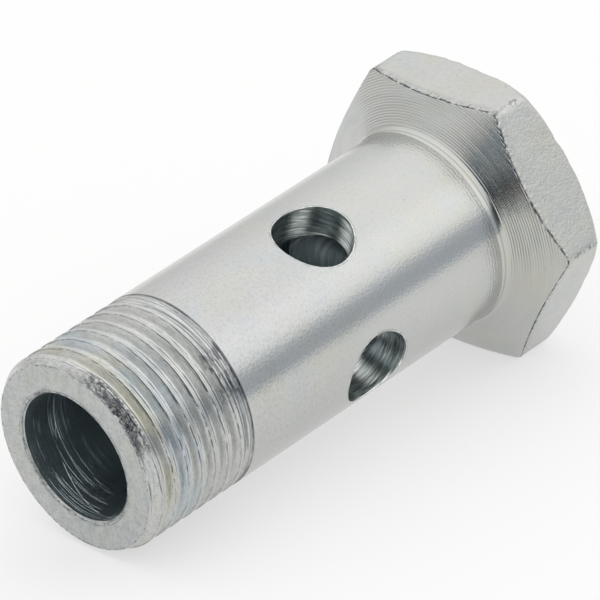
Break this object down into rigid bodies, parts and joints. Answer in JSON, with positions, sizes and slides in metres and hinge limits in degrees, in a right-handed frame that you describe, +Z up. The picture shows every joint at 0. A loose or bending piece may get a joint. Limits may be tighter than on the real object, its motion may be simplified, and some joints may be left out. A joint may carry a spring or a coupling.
{
  "type": "banjo bolt",
  "caption": "Hollow hexagon-head screw, threaded at its open end, with an axial bore and radial cross holes that carry fluid through a ring fitting.",
  "frame": {"origin": "on the table, under the middle of the bounding box of the bolt as it lies", "axes": "+X along the table from the threaded end to the head, +Z up; the bolt's own axis rises 4.2 degrees from +X towards the head"},
  "size_m": [0.0506, 0.0274, 0.0244],
  "materials": {
    "zinc_plated_steel": "bright zinc plate, satin"
  },
  "bodies": {
    "root": {"banjo_bolt": "zinc_plated_steel"}
  },
  "joints": []
}
